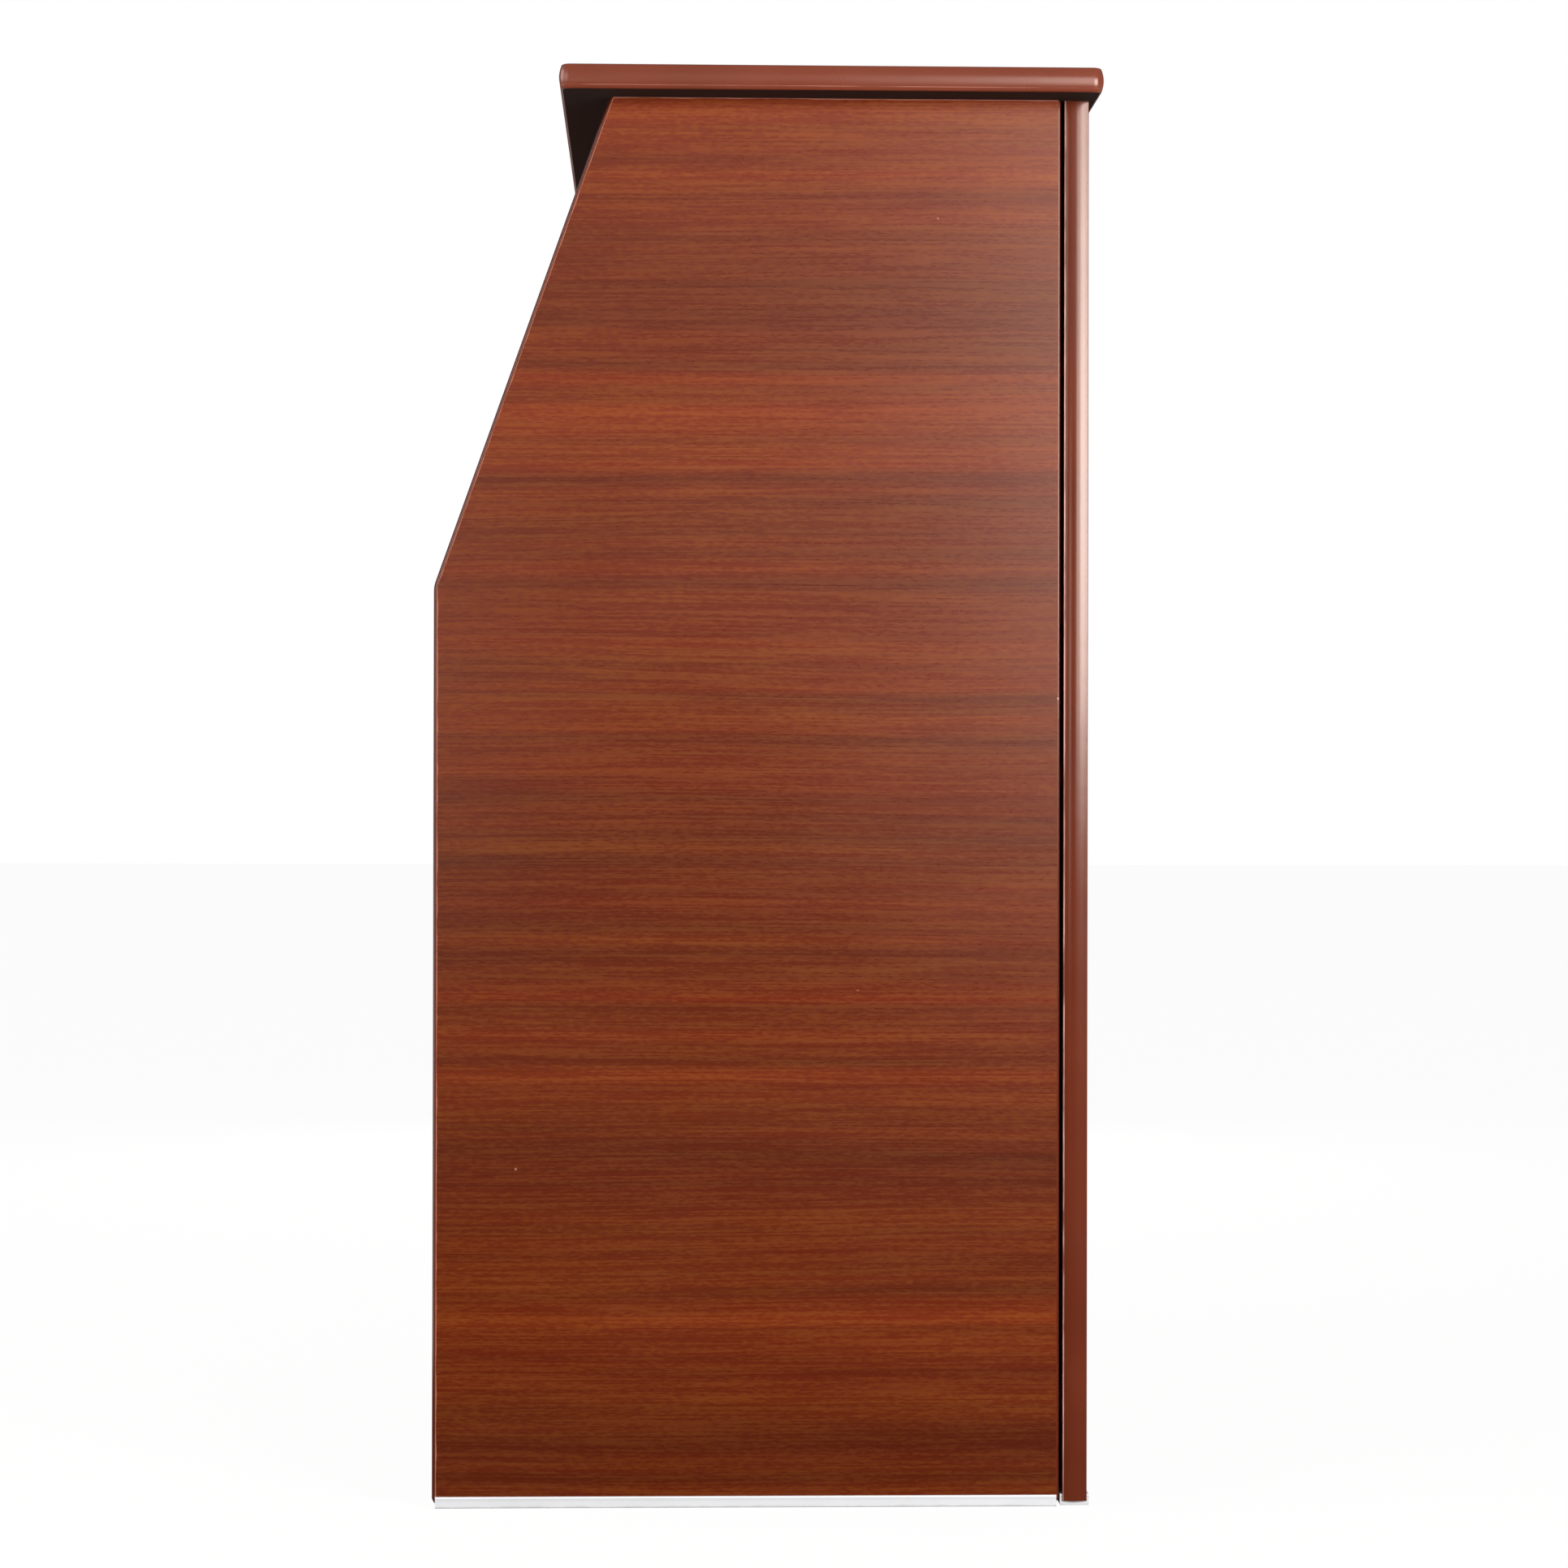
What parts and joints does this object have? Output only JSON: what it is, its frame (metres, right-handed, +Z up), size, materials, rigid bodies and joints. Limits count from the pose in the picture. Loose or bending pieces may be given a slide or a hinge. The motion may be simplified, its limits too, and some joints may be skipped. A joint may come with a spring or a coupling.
{
  "type": "secretary desk",
  "caption": "Slant-front secretary desk in mahogany-look laminate with T-moulded edges: fall-front lid on lopers, letter racks, drawer and cupboard.",
  "frame": {"origin": "on the floor, under the middle of the desk's bounding box at rest", "axes": "+Z up, -Y towards the person who writes at the desk, +X to that person's right"},
  "size_m": [0.914, 0.516, 1.111],
  "materials": {
    "laminate": "satin mahogany-pattern laminate on both faces",
    "moulding": "smooth red-brown plastic moulding",
    "inner_laminate": "matt mahogany-pattern melamine",
    "floor_plastic": "plain off-white extrusion",
    "hardwood": "stained and lacquered hardwood",
    "hardboard": "smooth brown hardboard",
    "hinge_brass": "brassed steel strip",
    "pull_metal": "antique brass",
    "steel": "zinc-plated",
    "catch_plastic": "dark brown plastic with a magnet inside"
  },
  "bodies": {
    "case": {"top_panel": "laminate", "top_moulding": "moulding", "top_brackets": "steel", "side_panel_left": "laminate", "side_panel_right": "laminate", "side_front_moulding_left": "moulding", "side_front_moulding_right": "moulding", "side_rear_mouldings": "moulding", "back_panel": "laminate", "back_mouldings": "moulding", "side_floor_channel_left": "floor_plastic", "side_floor_channel_right": "floor_plastic", "back_floor_channel": "floor_plastic", "bottom_panel": "inner_laminate", "middle_board": "inner_laminate", "shelf_mouldings": "moulding", "plinth_board": "laminate", "writing_board": "inner_laminate", "adjustable_shelf": "inner_laminate", "shelf_pins": "steel", "rack_shelf": "inner_laminate", "lower_rack_dividers": "inner_laminate", "upper_rack_dividers": "inner_laminate", "lid_stop_rail": "inner_laminate", "lid_catches": "catch_plastic", "lid_hinge_fixed_leaf": "hinge_brass", "lid_hinge_pin": "hinge_brass", "loper_partitions": "inner_laminate", "drawer_runners_fixed": "steel", "door_hinge_fixed_leaf_left": "hinge_brass", "door_hinge_fixed_leaf_right": "hinge_brass", "door_hinge_pins": "hinge_brass", "door_catch": "catch_plastic"},
    "lid": {"lid_panel": "laminate", "lid_edging": "moulding", "lid_hinge_leaf": "hinge_brass", "lid_pull": "pull_metal", "lid_strikes": "steel"},
    "loper_left": {"loper_left": "hardwood"},
    "loper_right": {"loper_right": "hardwood"},
    "drawer": {"drawer_front": "laminate", "drawer_front_edging": "moulding", "drawer_pull": "pull_metal", "drawer_sides": "inner_laminate", "drawer_back": "inner_laminate", "drawer_bottom": "hardboard", "drawer_runners_sliding": "steel"},
    "door_left": {"door_panel_left": "laminate", "door_edging_left": "moulding", "door_pull_left": "pull_metal", "door_strike_left": "steel", "door_hinge_leaf_left": "hinge_brass"},
    "door_right": {"door_panel_right": "laminate", "door_edging_right": "moulding", "door_pull_right": "pull_metal", "door_strike_right": "steel", "door_hinge_leaf_right": "hinge_brass"}
  },
  "joints": [
    {"name": "lid_hinge", "type": "hinge", "parent": "case", "child": "lid", "pos_m": [0, -0.23714, 0.706], "axis": [1, 0, 0], "range_deg": [0, 109.61]},
    {"name": "loper_slide_left", "type": "slide", "parent": "case", "child": "loper_left", "axis": [0, -1, 0], "range_m": [0, 0.25]},
    {"name": "loper_slide_right", "type": "slide", "parent": "case", "child": "loper_right", "axis": [0, -1, 0], "range_m": [0, 0.25]},
    {"name": "drawer_slide", "type": "slide", "parent": "case", "child": "drawer", "axis": [0, -1, 0], "range_m": [0, 0.3]},
    {"name": "door_hinge_left", "type": "hinge", "parent": "case", "child": "door_left", "pos_m": [-0.3977, -0.255, 0.3245], "axis": [0, 0, -1], "range_deg": [0, 150]},
    {"name": "door_hinge_right", "type": "hinge", "parent": "case", "child": "door_right", "pos_m": [0.3977, -0.255, 0.3245], "axis": [0, 0, 1], "range_deg": [0, 150]}
  ]
}
